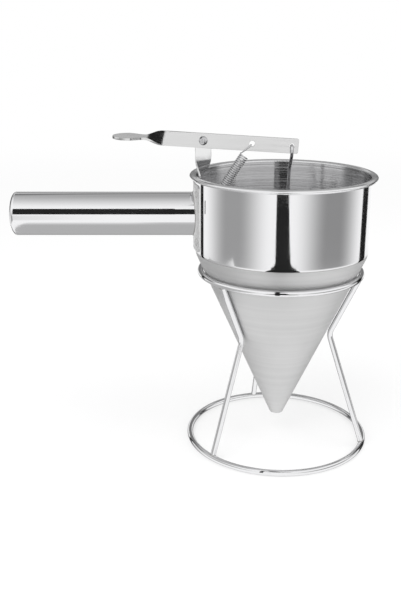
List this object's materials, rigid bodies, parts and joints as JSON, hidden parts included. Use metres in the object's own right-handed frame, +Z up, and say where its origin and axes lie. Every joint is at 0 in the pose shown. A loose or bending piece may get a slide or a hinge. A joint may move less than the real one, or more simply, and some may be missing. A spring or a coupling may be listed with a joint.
{
  "type": "dispensing funnel",
  "caption": "Steel dispensing funnel with a sprung thumb lever, plug on a rod, tube handle and wire stand.",
  "frame": {"origin": "on the table plane, under the middle of the length and width of the whole object", "axes": "+X from the handle's end to the funnel, +Y away from the side with the lever and screw head, +Z up"},
  "size_m": [0.2274, 0.119, 0.2024],
  "materials": {
    "polished_steel": "mirror polished stainless steel",
    "satin_steel": "satin, finely turned",
    "sheet_steel": "smooth rolled sheet",
    "wire_steel": "polished wire",
    "spring_steel": "drawn spring wire",
    "screw_steel": "bright fastener"
  },
  "bodies": {
    "stand": {"stand_top_ring": "wire_steel", "stand_base_ring": "wire_steel", "stand_leg_left": "wire_steel", "stand_leg_right": "wire_steel", "stand_leg_back": "wire_steel"},
    "funnel": {"cup": "polished_steel", "cone": "satin_steel", "handle_saddle": "polished_steel", "handle_tube": "polished_steel", "handle_end_cap": "polished_steel", "lever_bracket": "sheet_steel", "pivot_screw": "screw_steel", "pivot_nut": "screw_steel", "return_spring": "spring_steel"},
    "lever": {"lever": "sheet_steel"},
    "rod": {"stopper_rod": "wire_steel", "stopper_plug": "satin_steel"}
  },
  "joints": [
    {"name": "funnel_lift", "type": "slide", "parent": "stand", "child": "funnel", "axis": [0, 0, 1], "range_m": [0, 0.105]},
    {"name": "lever_hinge", "type": "hinge", "parent": "funnel", "child": "lever", "pos_m": [0.00513, -0.00165, 0.1964], "axis": [0, -1, 0], "range_deg": [0, 35], "stiffness_Nm_per_rad": 0.224, "springref_deg": -19.48, "deforming": ["return_spring"]},
    {"name": "rod_hinge", "type": "hinge", "parent": "lever", "child": "rod", "pos_m": [0.05872, -0.00165, 0.19312], "axis": [0, -1, 0], "range_deg": [-36, 0.5]}
  ],
  "couplings": [
    {"joint": "rod_hinge", "follows": "lever_hinge", "ratio": -1}
  ]
}
